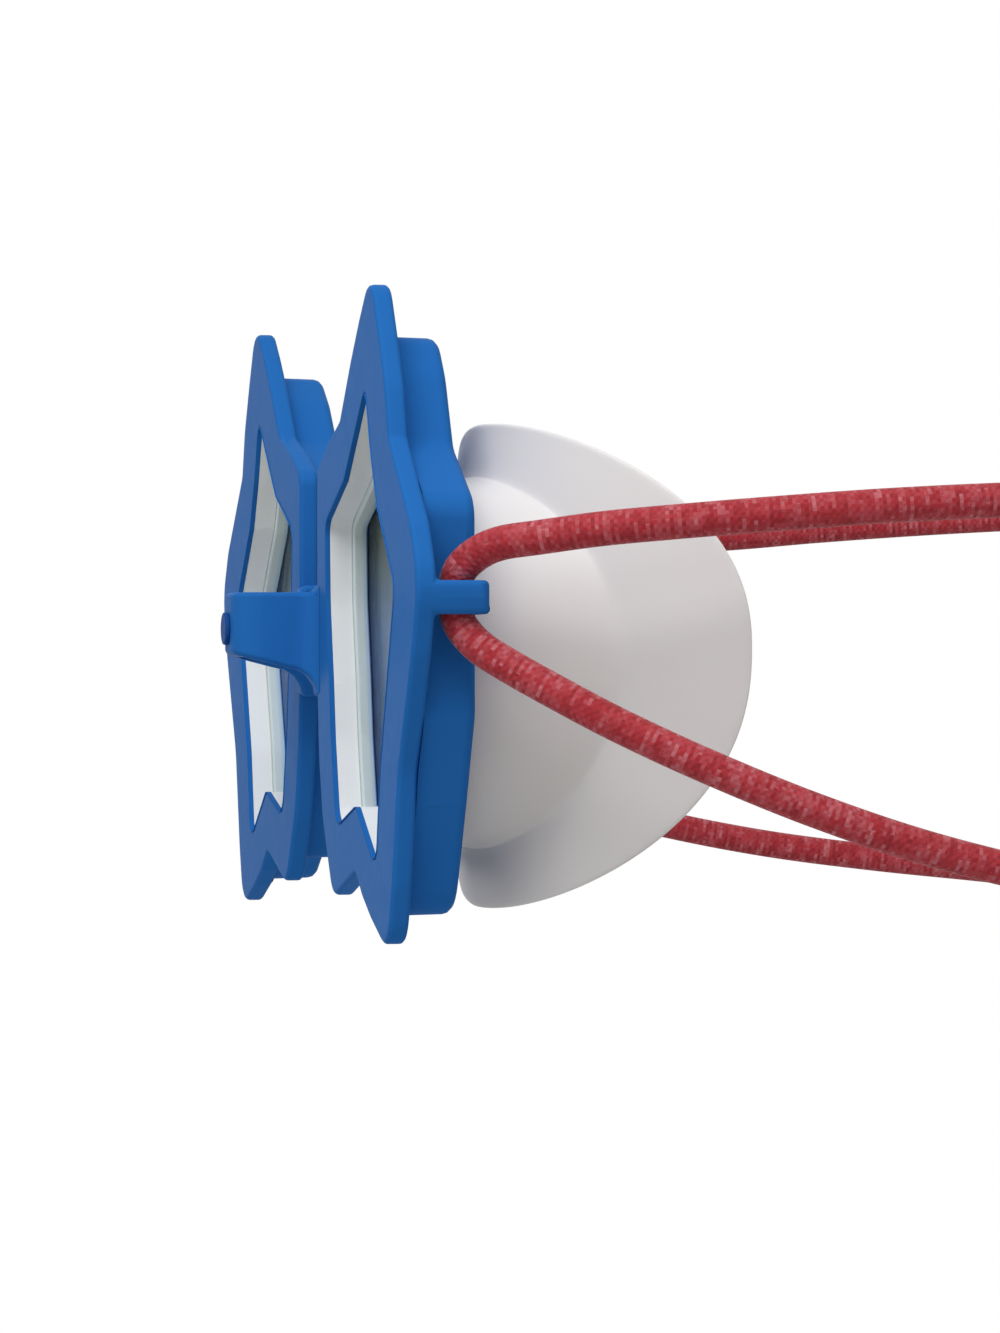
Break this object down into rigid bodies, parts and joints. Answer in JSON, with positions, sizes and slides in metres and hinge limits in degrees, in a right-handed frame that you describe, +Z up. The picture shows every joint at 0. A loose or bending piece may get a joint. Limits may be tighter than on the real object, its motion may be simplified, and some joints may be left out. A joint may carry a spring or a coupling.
{
  "type": "swimming goggles",
  "caption": "Swimming goggles with star shaped frames, soft eye cups, an arched nose bridge and a round elastic cord with a cord lock.",
  "frame": {"origin": "middle of the face seal datum, between the eyes, level with the middle of the star plates", "axes": "+Y points back round the head, -Y out of the lenses, +Z up, X is across the face"},
  "size_m": [0.1623, 0.1969, 0.1104],
  "materials": {
    "blue_silicone": "satin",
    "blue_pad": "satin",
    "white_liner": "satin",
    "grey_seal": "satin",
    "lens": "clear",
    "soft_gasket": "translucent satin",
    "red_cord": "woven",
    "dark_plastic": "gloss",
    "spring_steel": "bright"
  },
  "bodies": {
    "right_half": {"right_star_frame": "blue_silicone", "right_rear_housing": "blue_silicone", "right_window_liner": "white_liner", "right_lens_seal": "grey_seal", "right_lens": "lens", "right_face_gasket": "soft_gasket", "right_snap_pins": "dark_plastic", "nose_bridge": "blue_silicone", "bridge_pad": "blue_pad", "strap_upper": "red_cord", "strap_lower_right": "red_cord", "strap_lower_left": "red_cord", "cord_end_right": "dark_plastic", "cord_end_left": "dark_plastic"},
    "left_half": {"left_star_frame": "blue_silicone", "left_rear_housing": "blue_silicone", "left_window_liner": "white_liner", "left_lens_seal": "grey_seal", "left_lens": "lens", "left_face_gasket": "soft_gasket", "left_snap_pins": "dark_plastic"},
    "cord_lock": {"cord_lock_body": "dark_plastic", "cord_lock_spring": "spring_steel"},
    "lock_button": {"cord_lock_button": "dark_plastic"}
  },
  "joints": [
    {"name": "bridge_flex", "type": "hinge", "parent": "right_half", "child": "left_half", "pos_m": [0, -0.0205, -0.0008], "axis": [0, 0, 1], "range_deg": [-10, 6], "stiffness_Nm_per_rad": 0.06, "deforming": ["nose_bridge", "strap_upper", "strap_lower_left"]},
    {"name": "cord_lock_slide", "type": "slide", "parent": "right_half", "child": "cord_lock", "axis": [1, 0, 0], "range_m": [-0.006, 0.006]},
    {"name": "lock_button_press", "type": "slide", "parent": "cord_lock", "child": "lock_button", "axis": [0, 0, -1], "range_m": [0, 0.0032], "stiffness_N_per_m": 300, "springref_m": -0.004, "deforming": ["cord_lock_spring"]}
  ]
}
